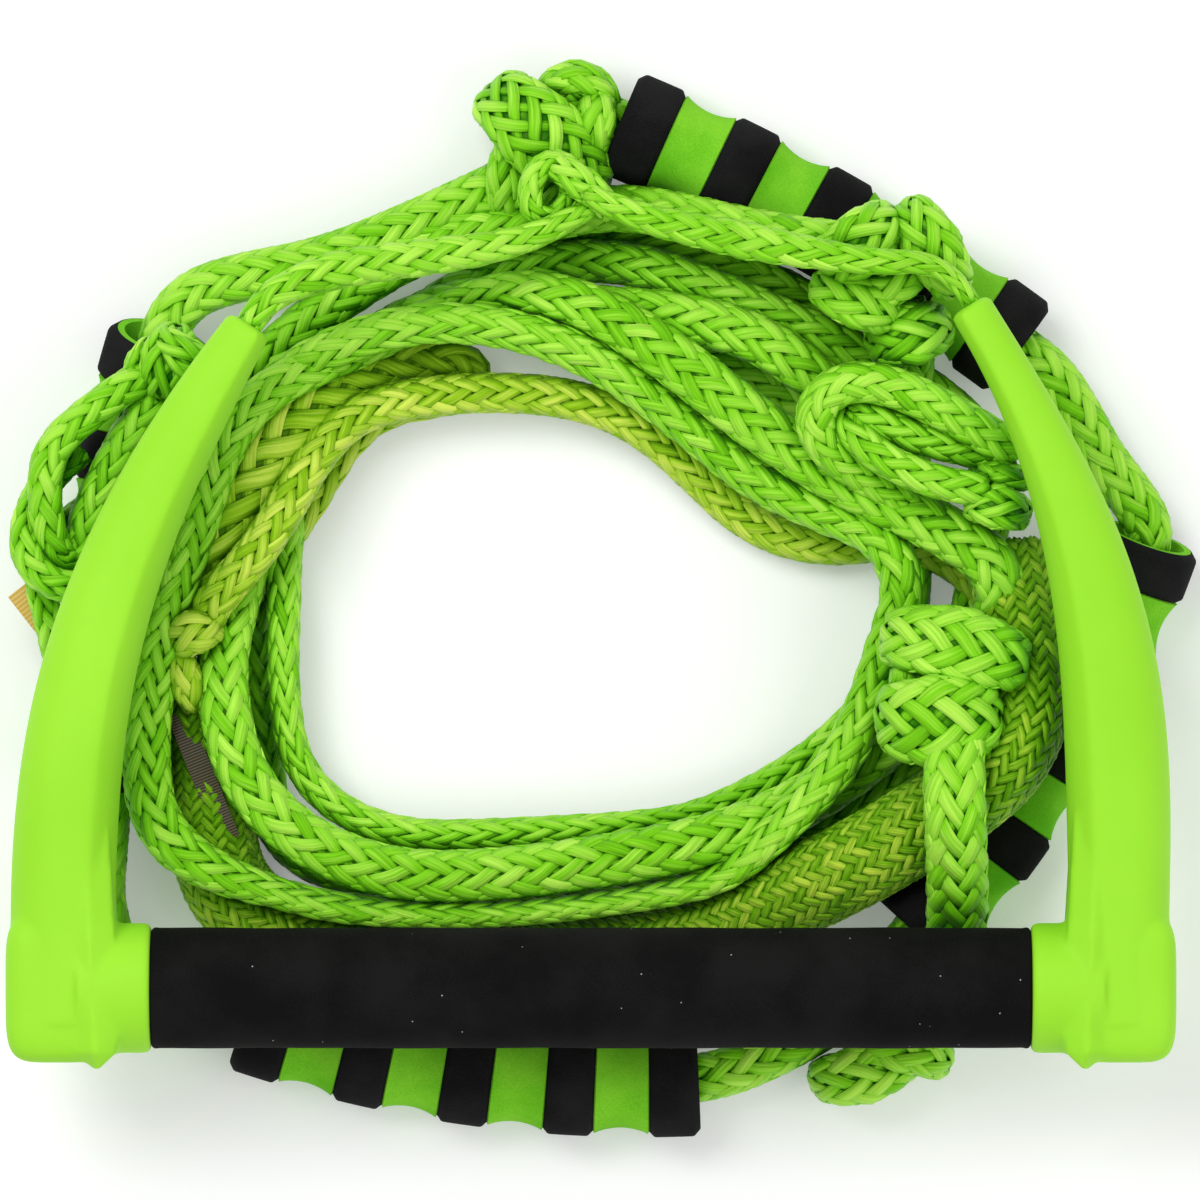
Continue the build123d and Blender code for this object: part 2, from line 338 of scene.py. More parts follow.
def braid(
    name,
    path,
    width,
    height,
    material,
    turn=72.0,
    pairs=10,
    strand=(3.7, 1.2),
    step=2.1,
    roll=0.0,
    axis=None,
    sides=6,
    squareness=0.85,
    fray=0.10,
    core_shade=-0.25,
):
    """A hollow braid round a path: pairs of strands that wind both ways, two over two under.

    Sizes are in millimetres. width, height and roll (degrees) may be lists of
    (share of the length, value). axis is the direction that the width keeps to.
    """
    path = resample(path, step * MM)
    along = lengths_along(path) / MM
    share = along / along[-1]
    strand_width, strand_thickness = strand
    tangent, side, upper = path_frames(path, axis, np.radians(along_path(roll, share)))
    half_wide = along_path(width, share) / 2 - strand_thickness
    half_high = along_path(height, share) / 2 - strand_thickness
    tight = np.minimum(1.0, (half_wide + half_high) / (half_wide + half_high).max())
    ring = 2 * math.pi * (np.arange(sides) + 0.5) / sides
    vertices, faces, fibre, tone_and_shade = [], [], [], []
    count = 0
    for way in (1, -1):
        for index in range(pairs):
            turned = way * 2 * math.pi * along / turn + 2 * math.pi * index / pairs
            crossing = 2 * index + way * 2 * pairs * along / turn
            weave = np.clip(1.35 * np.cos(math.pi / 2 * (crossing - 0.5)), -1, 1) * way
            out = weave * strand_thickness * 0.30
            cos, sin = np.cos(turned), np.sin(turned)
            cos = np.sign(cos) * np.abs(cos) ** squareness
            sin = np.sign(sin) * np.abs(sin) ** squareness
            middle = path + MM * (
                side * ((half_wide + out) * cos)[:, None]
                + upper * ((half_high + out) * sin)[:, None]
            )
            outward = unit(
                side * (cos * half_high)[:, None] + upper * (sin * half_wide)[:, None]
            )
            forward = unit(np.gradient(middle, axis=0))
            outward = unit(
                outward - np.sum(outward * forward, axis=1, keepdims=True) * forward
            )
            across = np.cross(forward, outward)
            wide = strand_width / 2 * (0.90 + 0.10 * weave) * tight
            rounded = np.sign(np.sin(ring)) * np.abs(np.sin(ring)) ** 1.15
            vertices.append(
                (
                    middle[:, None, :]
                    + MM
                    * (
                        across[:, None, :] * (wide[:, None] * np.cos(ring))[..., None]
                        + outward[:, None, :]
                        * (strand_thickness / 2 * rounded)[None, :, None]
                    )
                ).reshape(-1, 3)
            )
            faces += tube_faces(len(path), sides, count)
            count += len(path) * sides
            run = lengths_along(middle)[:, None] / MM + np.zeros(sides)
            over = np.zeros(len(path))[:, None] + np.cos(ring) * strand_width / 2
            own = random.uniform(0, 60)
            fibre.append(
                np.stack([run + own, over + own, np.full_like(run, own)], axis=-1).reshape(-1, 3)
            )
            # Tone that differs at random per strand and along it, plus painted shade: 0.10 *
            # weave makes a strand darker where it passes under and lighter where it passes over.
            own_tone = random.normal(0.0, fray)
            drift = 0.10 * np.sin(along / 37.0 + own) + 0.05 * np.sin(along / 9.0 + 2 * own)
            level = 0.16 + own_tone * 0.5 + drift + 0.10 * weave
            tone_and_shade.append((level[:, None] + np.zeros(sides)).ravel())
    # The core: a tube inside the strands, toned dark as painted shade inside the hollow braid,
    # so the gaps between strands show deep green.
    core_sides = 12
    core_ring = 2 * math.pi * np.arange(core_sides) / core_sides
    core = path[:, None, :] + MM * 0.90 * (
        side[:, None, :] * (half_wide[:, None] * np.cos(core_ring))[..., None]
        + upper[:, None, :] * (half_high[:, None] * np.sin(core_ring))[..., None]
    )
    vertices.append(core.reshape(-1, 3))
    faces += tube_faces(len(path), core_sides, count)
    fibre.append(np.repeat(along, core_sides)[:, None] * np.array([1.0, 0.3, 0.1]))
    tone_and_shade.append(np.full(len(path) * core_sides, core_shade))
    attributes = {"fibre": np.concatenate(fibre), "tone_and_shade": np.concatenate(tone_and_shade)}
    piece = new_object(name, np.concatenate(vertices), faces, material, attributes)
    return piece, path


def rope(name, route, material, nodes=(), slot="rope_green", **shape):
    """A braided rope along a route's spline."""
    piece, path = braid(name, spline(route), material=material, **shape)
    belongs(piece, nodes)
    return piece, path


def ring_path(middle, turn, lean, half_span, half_rise):
    """A standing ring that overlaps itself at its foot, and the direction of its axis."""
    turned, leaned = math.radians(turn), math.radians(lean)
    along = np.array([math.cos(turned), math.sin(turned), 0.0])
    level = np.array([-math.sin(turned), math.cos(turned), 0.0])
    upright = np.array([0.0, 0.0, 1.0]) * math.cos(leaned) + level * math.sin(leaned)
    angles = np.radians(np.linspace(-98.0, 278.0, 76))
    path = points(middle) + MM * (
        np.cos(angles)[:, None] * half_span * along
        + np.sin(angles)[:, None] * half_rise * upright
    )
    return path, np.cross(along, upright)


# A wrap is fullest on top of its knot and narrows where it turns down and tucks under.
KNOT_SWELL = ((0.0, 0.6), (0.24, 0.74), (0.5, 1.04), (0.76, 0.74), (1.0, 0.6))


KNOT_ROPE = {"height": 9.0, "turn": 62.0, "pairs": 10, "strand": (3.8, 1.25), "step": 1.8}


def knot(name, node, wraps, material=ROPE_GREEN, slot="rope_green", **shape):
    """A tied knot: wraps of the rope, each (middle, turn, lean, half span, half rise, width)."""
    parts = []
    for index, (middle, turn, lean, half_span, half_rise, width) in enumerate(wraps):
        path, axis = ring_path(middle, turn, lean, half_span, half_rise)
        widths = [(share, width * swell) for share, swell in KNOT_SWELL]
        look = {**KNOT_ROPE, **shape, "axis": axis, "material": material}
        part, _ = braid(f"{name}_{index}", path, widths, **look)
        parts.append(part)
    return joined(name, parts, node)


def joined(name, parts, node):
    """Several mesh objects as one piece that stands for a CAD node."""
    with bpy.context.temp_override(
        active_object=parts[0], object=parts[0], selected_editable_objects=parts
    ):
        bpy.ops.object.join()
    piece = parts[0]
    piece.name = name
    piece.data.name = name
    belongs(piece, [node])
    return piece


# ---- routes of the ropes --------------------------------------------------------------
def at(height, *places):
    """Points of a route that all lie at one height above the floor."""
    return [(x, y, FLOOR + height) for x, y in places]


FLOAT_HEIGHT = 13.25
FLOAT_ROPE_ROUTE = (
    at(FLOAT_HEIGHT + 3, (-7, 214))
    + at(FLOAT_HEIGHT, (7.1, 209.1), (33.5, 197.2), (57.5, 184.8), (82.5, 170.1), (104.2, 153.9))
    + at(FLOAT_HEIGHT, (112, 148.2), (118.5, 138), (124, 127.5), (131.9, 117.7), (136.1, 109.9))
    + at(FLOAT_HEIGHT, (133.4, 102.6), (121.6, 73.8), (102.1, 41.8), (78.7, 12.3))
    + at(FLOAT_HEIGHT, (64, -5), (50, -14.5))
    + at(FLOAT_HEIGHT, (27, -24.5), (-11.6, -23.7), (-48.4, -18.5), (-84.8, -8.5))
    + at(FLOAT_HEIGHT, (-104, -2.5), (-115.5, 7), (-119.5, 20), (-118.3, 34), (-117.2, 50))
    + at(FLOAT_HEIGHT, (-116.3, 100))
    + at(FLOAT_HEIGHT, (-112.5, 126), (-105, 156.5), (-98.5, 167), (-86, 171.5))
    + at(FLOAT_HEIGHT + 1, (-66, 175), (-43, 184), (-22, 194))
)
LEFT_LEG_ROUTE = [
    (-82.6, 158, 2.8), (-79, 164, 2.9), (-73.5, 168, 2), (-62, 172.5, 0), (-43, 175, -5),
    (-22, 178, -9), (-9, 182.5, -12), (0, 188, -14),
]
RIGHT_LEG_ROUTE = [
    (92, 163, 2.8), (88.7, 169.2, 3), (80.5, 174.2, 7.5), (68, 173.8, 11), (50, 176.6, 7),
    (27, 181.5, -3.5), (10, 185.5, -8.5), (-1, 191, -10),
]
TAIL_ROUTE = [
    (87, 60, 0), (87, 45, 5.5), (88, 29, -4.5), (88.5, 13, -17), (86, -4, -24), (77, -14, -31),
]

# The bungee, from its knot at the right, under the grip and up the left side.
BUNGEE_ROUTE = [
    (101, 104, -29), (105, 84, -21), (106, 68, -16), (100, 54, -14), (88, 44, -16),
    (74, 35, -20), (60, 27, -26), (45, 20, -33), (31, 13.5, -38), (14, 9, -38.8),
    (-8, 6.5, -38.8), (-30, 6, -38.8), (-52, 7, -38.8), (-72, 11, -38.8), (-86, 19, -38.8),
    (-91.5, 30, -38.8), (-92.5, 43, -38.8), (-92, 57, -38.5), (-93.5, 72, -37),
]
# The loose end of the bungee's cover: up the left side, folded back on itself.
LOOSE_COVER_ROUTE = [
    (-97, 83.5, -33), (-95.2, 94, -30), (-92.2, 102, -28), (-89.2, 110, -27),
    (-85.6, 117.5, -27), (-81.6, 124.3, -27), (-76.4, 130.8, -27), (-70.8, 136.8, -29),
    (-63.5, 143, -33), (-54, 148.5, -38), (-44, 151.5, -41), (-33, 152, -42), (-27, 148, -42),
    (-31, 142.5, -43), (-41, 141.3, -44), (-52, 138.5, -44), (-60, 131, -44), (-66, 121, -44),
    (-72, 111, -43), (-80, 102.5, -41), (-89, 95, -38), (-94, 86, -36),
]
YELLOW_ROUTE = [
    (-97, 82, -31), (-93, 90.5, -25), (-87, 97.7, -22), (-80.6, 105, -22), (-75, 113.5, -23),
    (-70.2, 122.3, -25), (-65, 130.5, -28), (-58.6, 137, -31), (-49.5, 141, -34),
    (-37, 143, -36), (-22.1, 143.6, -36), (-7.6, 142.6, -36), (5.8, 138.8, -37),
    (16.7, 132, -38), (26.5, 122.8, -40), (35, 114.5, -42), (46, 108.2, -43), (59.4, 106, -43),
    (71.5, 107.7, -43), (83.7, 105.3, -43), (93.4, 99.2, -42), (99.4, 90.7, -40),
]
# The main line from the bight at the right, four turns round the coil, to the stopper knot.
MAIN_ROUTE = [
    (58.2, 143.4, -22), (52.7, 148.2, -22), (42.6, 155.3, -24), (31, 160, -26),
    (15.7, 162.2, -28), (2.2, 163.2, -31), (-12.4, 164.5, -36), (-29.5, 166.1, -40),
    (-46.5, 160, -43), (-60, 151, -42), (-72.1, 134.5, -40), (-80.1, 117.4, -39),
    (-85.3, 98, -34), (-89, 83.4, -30), (-89.5, 73.7, -26), (-88.4, 64.1, -24),
    (-85.8, 54.4, -24), (-80.9, 45.5, -24.5), (-72.9, 37.4, -24.5), (-63.2, 31.8, -25),
    (-52.7, 28.1, -25), (-41, 26.1, -25), (-25, 26.5, -25), (-6, 28.6, -25), (12, 31.4, -25),
    (29, 34.9, -27), (45.8, 40.9, -33), (60.4, 49.4, -35), (73.8, 60.3, -35),
    (83.4, 71.3, -33), (90.6, 81, -29), (98.8, 88.7, -21), (99.7, 96, -18), (96.4, 102.8, -19),
    (89.6, 107.6, -21), (79.5, 113.2, -22), (69.6, 117.8, -22), (54.1, 126, -22),
    (38.7, 136.6, -22), (23.4, 148.9, -22), (8, 159.8, -23), (-6.3, 166.7, -25),
    (-19.6, 168.2, -29), (-31.8, 164.7, -33.5), (-46.4, 158.7, -35), (-58.5, 153.3, -34),
    (-66.5, 149.8, -29), (-75, 145.8, -25), (-81.9, 140.5, -23), (-87.2, 133.6, -22.5),
    (-91.2, 125.5, -23), (-94.1, 115.4, -24), (-97.3, 103.5, -25), (-101.4, 91.5, -25.5),
    (-105, 78, -24.5), (-107.4, 66, -23), (-107.6, 54, -21.5), (-106.5, 42.5, -21.5),
    (-100.5, 33, -22), (-89.5, 26.5, -23.5), (-76.5, 22.4, -25), (-64, 18.9, -26),
    (-49.5, 17.6, -27), (-33.3, 17.2, -27.5), (-14, 17.9, -27.5), (4, 20, -27.5),
    (19.1, 22.5, -28), (31.2, 25.8, -27.5), (40.9, 33.1, -25.5), (50.8, 43.2, -25),
    (57.8, 50.7, -25), (63.9, 60.4, -25), (68, 70.1, -25), (71.9, 82.2, -25),
    (75.2, 91.9, -24), (75.2, 99.1, -24), (72.3, 105.7, -25), (66.6, 110.8, -27),
    (55.5, 114.9, -29), (39.7, 122.2, -29.5), (23.5, 135.5, -29), (11.8, 144.5, -28),
    (-1.5, 152.7, -26), (-17.2, 158.4, -25), (-32.9, 160.4, -24.5), (-46.2, 159.4, -24.5),
    (-58.3, 156, -25), (-69.3, 150.8, -28), (-79.9, 142.8, -33), (-86, 132, -36),
    (-87.5, 120, -38), (-85.8, 106.5, -40), (-83, 93, -41), (-81.8, 80, -41), (-81.4, 67, -41),
    (-79.5, 56, -42), (-79.5, 46, -43), (-76.5, 37, -44), (-69, 29.5, -45), (-56, 25.5, -45),
    (-41, 24.5, -45), (-20, 25, -45), (0, 27.5, -45), (20, 30.5, -45), (38, 33.5, -45),
    (57, 40.5, -45), (74.5, 50, -45), (86.5, 67, -45), (93, 90, -44), (96, 108, -43),
    (98.5, 120.5, -41), (95.5, 131.5, -40), (87, 140.5, -38), (75.5, 148, -33), (60, 155, -30),
    (38.8, 164.4, -30), (23.5, 170.5, -32), (11.9, 174.4, -35), (-0.3, 176, -40),
    (-14.9, 174.5, -44), (-31.9, 169, -45), (-46.6, 158, -45), (-59, 145, -45),
    (-68.9, 131, -45), (-74.3, 117.4, -43), (-74.9, 102.8, -38), (-74.5, 88.2, -34),
    (-74.7, 76.1, -34), (-74, 65, -34), (-72.2, 55.9, -34), (-67.8, 48.2, -34),
    (-61.2, 42.4, -34), (-52.5, 38.2, -34), (-41.5, 35.8, -34), (-26, 36, -34),
    (-9, 36.8, -34), (7, 37.6, -34), (24, 39.4, -35), (41.1, 46.9, -40), (56.5, 56.5, -44),
    (69.5, 69.5, -45), (77.5, 85, -45), (78.5, 104, -45), (77.5, 125, -44), (78, 141, -39),
    (78, 155.5, -23), (75.5, 164.5, -18.5),
]
# Turns that lie under the others: only glimpses of them show in the gaps.
UNDER_UPPER_ROUTE = [
    (62.5, 157.5, -40), (55, 163, -40), (46, 168.2, -40), (29.3, 175.2, -42), (14.3, 180, -44),
    (2.2, 182.6, -45), (-12, 181, -45),
]
UNDER_LOWER_ROUTE = [
    (63, 129, -44), (50.7, 138.2, -44), (41, 145.5, -44), (26.4, 153.8, -44),
    (11.9, 159.8, -44), (0, 162.5, -45), (-12, 161, -45),
]
# The line from the stopper knot, over the top and down the left side to the bungee's end.
LINK_ROUTE = [
    (59.6, 178.9, -14), (50.4, 179.9, -16), (38.6, 182, -19), (23.4, 185.6, -22.5),
    (11.8, 188, -28.5), (-0.3, 188.2, -34), (-12.4, 185.3, -35), (-24.5, 183.3, -35),
    (-35.7, 180.5, -35), (-46.4, 175.6, -35), (-58.6, 168.4, -37), (-70.8, 159.2, -40),
    (-81.8, 148.6, -43), (-90.4, 136.9, -44.5), (-97.2, 122.3, -44.5), (-101.1, 106.5, -44.5),
    (-104, 92, -44), (-104.5, 80, -41), (-99.5, 72, -36),
]
BIGHT_ROUTE = [
    (102.2, 128.7, -14), (94.8, 133.3, -11), (84.7, 139, -9), (73.8, 144.3, -8),
    (63.2, 146.2, -8), (55.6, 142.4, -9), (53.4, 135.8, -11), (57.1, 129, -14),
    (65.4, 123.5, -18), (75.9, 117.2, -22),
]
BIGHT_INNER_ROUTE = [
    (102, 127, -16), (88.6, 129.6, -14), (77.1, 132.8, -12), (66.7, 137.6, -12),
    (60.5, 140, -15), (62, 134.5, -12), (68.5, 128, -8), (77.5, 123.4, -7), (86.2, 120.6, -8),
    (95, 119.6, -10),
]
BOAT_LOOP_ROUTE = [
    (-100.5, 151, -18), (-108.5, 147, -17), (-116.1, 142, -16), (-123.1, 136.6, -15),
    (-128.5, 131.7, -15), (-131.5, 126, -15), (-132, 118.4, -16), (-131.1, 110, -18),
    (-128.5, 103, -20), (-124.5, 104, -22.5), (-122.5, 112, -22.5), (-118.8, 120.5, -22),
    (-114.5, 129, -21.5), (-110, 136.5, -21), (-105.5, 142.5, -20),
]
BOAT_TAIL_ROUTE = [
    (-123.5, 129.5, -25), (-129, 125, -24), (-133.6, 119, -23), (-136.6, 111.5, -20),
    (-136.6, 103.8, -18), (-132.3, 98.2, -16), (-126, 95.8, -15), (-119.3, 96.4, -17),
]
BOAT_END_ROUTE = [
    (-121, 116, -29), (-130, 110, -27), (-133.8, 102.7, -25), (-133.2, 95.5, -24),
    (-131.2, 87.8, -27), (-129.6, 79.9, -31), (-127, 71.5, -36), (-121.5, 64, -41),
]

# ---- the cords ------------------------------------------------------------------------
main_line, main_path = rope(
    "main_line", MAIN_ROUTE, ROPE_GREEN, nodes=["main_line_coil"],
    width=[(0, 12), (0.02, 13.0), (0.27, 13.5), (0.30, 10), (0.355, 12.5), (0.378, 12.5),
           (0.39, 11), (0.43, 12), (0.52, 11), (0.84, 11.5), (0.86, 8.5), (0.93, 9), (1, 11.5)],
    height=[(0, 9), (0.33, 9), (0.345, 8), (0.38, 8), (0.392, 6.5), (0.44, 6.5), (0.47, 10.5),
            (0.50, 11), (0.54, 9), (1, 9)],
    roll=[(0, 0), (0.08, 0), (0.33, 0), (0.345, 40), (0.355, 20), (0.378, 15), (0.392, 58),
          (0.43, 70), (0.48, 25), (0.56, 40), (0.62, 10), (0.66, 0), (1, 0)],
)
yellow_line, yellow_path = rope(
    "yellow_line", YELLOW_ROUTE, ROPE_OLIVE, slot="bungee_braid", width=10.5, height=8.0,
    turn=60.0, strand=(3.0, 1.2),
)
loose_cover, loose_path = rope(
    "bungee_loose_cover", LOOSE_COVER_ROUTE, ROPE_OLIVE, slot="bungee_braid",
    width=[(0, 9), (0.08, 13), (0.22, 16), (0.32, 15), (0.45, 12), (0.55, 9), (1, 9)],
    height=7.5, pairs=6, turn=56.0, strand=(5.8, 1.2),
)
link_line, link_path = rope("stopper_link", LINK_ROUTE, ROPE_GREEN, width=12.0, height=9.0)
under_upper, under_upper_path = rope(
    "under_turn_upper", UNDER_UPPER_ROUTE, ROPE_GREEN, width=12.5, height=8.5,
)
under_lower, under_lower_path = rope(
    "under_turn_lower", UNDER_LOWER_ROUTE, ROPE_GREEN, width=12.5, height=8.5,
)
float_rope, float_path = rope(
    "float_line", FLOAT_ROPE_ROUTE, ROPE_GREEN, nodes=["float_rope"], width=12.5, height=11.0,
    step=2.4,
)
left_leg, left_path = rope(
    "left_leg_braid", LEFT_LEG_ROUTE, ROPE_GREEN, nodes=["bridle_leg_left"],
    width=[(0, 7.0), (0.3, 9.5), (0.6, 9.0), (0.8, 7.4), (1, 5.8)],
    height=[(0, 6.0), (0.3, 6.5), (1, 6.0)], pairs=8, turn=58.0, strand=(3.3, 1.0), step=1.8,
)
right_leg, right_path = rope(
    "right_leg_braid", RIGHT_LEG_ROUTE, ROPE_GREEN, nodes=["bridle_leg_right"],
    width=[(0, 5.0), (0.12, 5.6), (0.6, 9.4), (0.85, 7.6), (1, 6.0)],
    height=[(0, 5.0), (0.3, 5.6), (1, 6.0)], pairs=8, turn=58.0, strand=(3.3, 1.0), step=1.8,
)
bungee, bungee_path = rope(
    "bungee_cover", BUNGEE_ROUTE, BUNGEE_BRAID, nodes=["bungee_sleeve", "bungee_core"],
    slot="bungee_braid", width=22.5, height=21.5, pairs=24, turn=80.0, strand=(2.5, 1.05),
    step=1.9, squareness=1.0,
)
tail_rope, tail_path = rope(
    "tail_braid", TAIL_ROUTE, ROPE_GREEN, nodes=["tail_rope"], width=15.2, height=9.5,
    strand=(4.3, 1.2), step=1.8,
)
bight, bight_path = rope(
    "bight_braid", BIGHT_ROUTE, ROPE_GREEN, nodes=["bight_loop"],
    width=[(0, 10.5), (0.3, 10.5), (0.6, 10.5), (1, 9.5)], height=9.0, turn=64.0,
    strand=(3.4, 1.1), step=1.8,
)
bight_inner, bight_inner_path = rope(
    "bight_inner", BIGHT_INNER_ROUTE, ROPE_GREEN, width=8.8, height=7.5, turn=56.0, pairs=8,
    strand=(3.1, 1.1), step=1.8,
)
boat_loop, boat_path = rope(
    "boat_eye_braid", BOAT_LOOP_ROUTE, ROPE_GREEN, nodes=["boat_loop", "boat_loop_link"],
    width=9.0, height=8.0, turn=58.0, pairs=8, strand=(3.4, 1.1), step=1.8,
)
boat_tail, boat_tail_path = rope(
    "boat_loop_tail", BOAT_TAIL_ROUTE, ROPE_GREEN, width=8.5, height=7.5, turn=54.0, pairs=8,
    strand=(3.0, 1.1), step=1.8,
)
boat_end, boat_end_path = rope(
    "boat_loop_end", BOAT_END_ROUTE, ROPE_GREEN, width=8.0, height=7.0, turn=52.0, pairs=8,
    strand=(2.8, 1.1), step=1.8,
)

# ---- the knots ------------------------------------------------------------------------
bridle_knot = knot("tied_bridle_knot", "bridle_knot", [
    ((-3.6, 213.6, -36), -20, 52, 7, 7.5, 11),
    ((0.6, 208, -36), 80, 0, 6, 9, 11),
    ((-19.8, 197, -37), 80, 0, 8, 7, 11.5),
    ((-11.7, 204.4, -35), -45, 4, 15.5, 10.5, 21),
])
bridle_loop = knot("tied_bridle_loop", "bridle_loop", [
    ((-9.6, 191.9, -14), 75, 86, 7, 5, 7),
    ((-2.5, 192.5, -16), -38, 12, 8, 5, 9),
    ((-7.5, 192.5, -26), 70, 0, 7, 5, 11),
], height=6.8, strand=(2.9, 1.1), pairs=8, turn=50)
stopper_knot = knot("tied_stopper_knot", "stopper_knot_top", [
    ((65, 179, -9), 40, 0, 8, 7.5, 16),
    ((82, 178, -10.5), -60, 0, 9.5, 7.5, 15),
    ((63.8, 165.3, -13.5), -25, 0, 8, 7, 14),
    ((76.8, 157.2, -19), 15, 0, 7, 7.5, 16),
    ((72.5, 171.5, -14), 30, 0, 8, 7, 15),
])
bight_knot = knot("tied_bight_knot", "bight_knot", [
    ((98, 115, -14), -12, 6, 5.5, 5.5, 11.5),
    ((100, 123.5, -16), -10, -10, 4.5, 5, 8),
], height=7, strand=(3, 1.1), pairs=8, turn=44)
bungee_knot = knot("tied_bungee_knot", "bungee_knot", [
    ((87.6, 81, -8.5), -12, 8, 14.6, 8.6, 19),
    ((83.6, 65, -7), 2, -6, 11.6, 9.4, 22.5),
    ((77, 73.6, -12), 80, 0, 4.5, 6, 11),
], strand=(4.6, 1.25), turn=66)
end_knot = knot("tied_end_knot", "end_knot", [
    ((74.5, -15.6, -36), -16, 10, 10, 8, 14.5),
    ((66.3, -20.6, -37), 16, -8, 10, 7.5, 15),
])
boat_knot = knot("tied_boat_knot", "boat_loop_knot", [
    ((-101.8, 150.6, -19), 76, 6, 6.5, 6, 13.5),
    ((-97, 152, -17), -35, -6, 7, 6, 10),
    ((-110, 151.8, -20), 60, 0, 2, 3.5, 4.5),
], height=7.6, strand=(3.1, 1.2), pairs=8)
splice_knot = knot("tied_splice_knot", "splice_knot", [
    ((-96, 84.5, -26.5), 24, 8, 4.5, 5.5, 11.5),
    ((-97.6, 74, -28), -78, -6, 6, 5, 8.5),
], material=ROPE_OLIVE, slot="bungee_braid", height=6.5, strand=(3.6, 1.2), pairs=8, turn=44)


# ---- floats ---------------------------------------------------------------------------
FLOAT_LENGTH = 112.0
FLOAT_RADIUS = 13.25
FLOAT_CORE_RADIUS = 11.2
FLOAT_BORE_RADIUS = 9.5
BAND_LENGTH = 12.4
BAND_CHAMFER = 1.6
BAND_COUNT = 5
BAND_PITCH = (FLOAT_LENGTH - BAND_LENGTH) / (BAND_COUNT - 1)
SCALLOP_RADIUS = 12.45
SCALLOP_DIP = 1.55
LEANING_LENGTH = 26.0
# Each float: the centre and radius that it is bent to, its starting angle, its ends' lifts.
FLOATS = {
    "float_1": ((-164.9, -206.7), 450.0, 67.53, (0.0, 0.0)),
    "float_2": ((-129.3, 200.3), 280.0, -19.2, (0.20, 0.0)),
    "float_3": ((12.5, 275.8), 300.0, -87.4, (0.0, 0.0)),
    "float_4": ((192.3, 66.1), 310.0, 183.7, (0.0, 0.34)),
}
FLOAT_SIDES = 72


def bent_lathe(centre, radius, start, profile, lifts=(0.0, 0.0)):
    """A profile of (distance along, radius) turned round the float's bent axis, and closed.

    lifts are how far each end face leans back, as a slope: the soft tube's end tips up.
    """
    ring = 2 * math.pi * np.arange(FLOAT_SIDES) / FLOAT_SIDES
    vertices = []
    for along, out in profile:
        near_start = max(0.0, 1 - along / LEANING_LENGTH)
        near_end = max(0.0, 1 - (FLOAT_LENGTH - along) / LEANING_LENGTH)
        lean = lifts[0] * near_start - lifts[1] * near_end
        angle = (math.radians(start) - (along + lean * out * np.sin(ring)) / radius)[:, None]
        outward = np.hstack([np.cos(angle), np.sin(angle), np.zeros_like(angle)])
        middle = np.array([*centre, FLOOR + FLOAT_HEIGHT]) + radius * outward
        circle = middle + out * (
            np.cos(ring)[:, None] * outward + np.sin(ring)[:, None] * np.array([0, 0, 1.0])
        )
        vertices.append(circle)
    quads = ring_quads(len(profile), FLOAT_SIDES, closed=True)
    faces = [(a, d, c, b) for a, b, c, d in quads]
    return np.concatenate(vertices) * MM, faces


def scallops():
    """The core's profile: it dips between the bands, and returns along the bore."""
    gap = BAND_PITCH - BAND_LENGTH
    outside = [(0.0, FLOAT_CORE_RADIUS)]
    for index in range(BAND_COUNT - 1):
        low = index * BAND_PITCH + BAND_LENGTH
        outside.append((low - 0.6, FLOAT_CORE_RADIUS))
        for step in range(13):
            share = step / 12
            dip = math.sin(math.pi * share) ** 0.8
            outside.append((low + gap * share, SCALLOP_RADIUS - SCALLOP_DIP * dip))
        outside.append((low + gap + 0.6, FLOAT_CORE_RADIUS))
    outside.append((FLOAT_LENGTH, FLOAT_CORE_RADIUS))
    bore = [(FLOAT_LENGTH * (1 - step / 24), FLOAT_BORE_RADIUS) for step in range(25)]
    return outside + bore


def band_profile(low):
    high = low + BAND_LENGTH
    soft = 0.35
    outer = [
        (low, FLOAT_RADIUS - BAND_CHAMFER - soft),
        (low + soft * 0.4, FLOAT_RADIUS - BAND_CHAMFER),
        (low + BAND_CHAMFER - soft * 0.5, FLOAT_RADIUS - soft * 0.5),
        (low + BAND_CHAMFER + soft, FLOAT_RADIUS),
    ]
    outer += [(low + BAND_LENGTH * share, FLOAT_RADIUS) for share in (0.35, 0.5, 0.65)]
    outer += [
        (high - BAND_CHAMFER - soft, FLOAT_RADIUS),
        (high - BAND_CHAMFER + soft * 0.5, FLOAT_RADIUS - soft * 0.5),
        (high - soft * 0.4, FLOAT_RADIUS - BAND_CHAMFER),
        (high, FLOAT_RADIUS - BAND_CHAMFER - soft),
        (high, FLOAT_CORE_RADIUS),
        (low, FLOAT_CORE_RADIUS),
    ]
    return outer


def make_float(name):
    centre, radius, start, lifts = FLOATS[name]
    vertices, faces = bent_lathe(centre, radius, start, scallops(), lifts)
    core = new_object(f"{name}_foam", vertices, faces, FLOAT_GREEN)
    shells = [
        bent_lathe(centre, radius, start, band_profile(index * BAND_PITCH), lifts)
        for index in range(BAND_COUNT)
    ]
    bands = new_object(f"{name}_rings", *merged(shells), FLOAT_BLACK)
    for piece, node, slot in (
        (core, f"{name}_core", "float_green"),
        (bands, f"{name}_bands", "float_black"),
    ):
        piece.data.set_sharp_from_angle(angle=math.radians(32))
        belongs(piece, [node], body=name)


for float_name in FLOATS:
    make_float(float_name)

# ---- the handle -----------------------------------------------------------------------
HANDLE_TILT = math.radians(1.0)
GRIP_LENGTH = 211.0
GRIP_RADIUS = 14.55
TUBE_RADIUS = 11.0
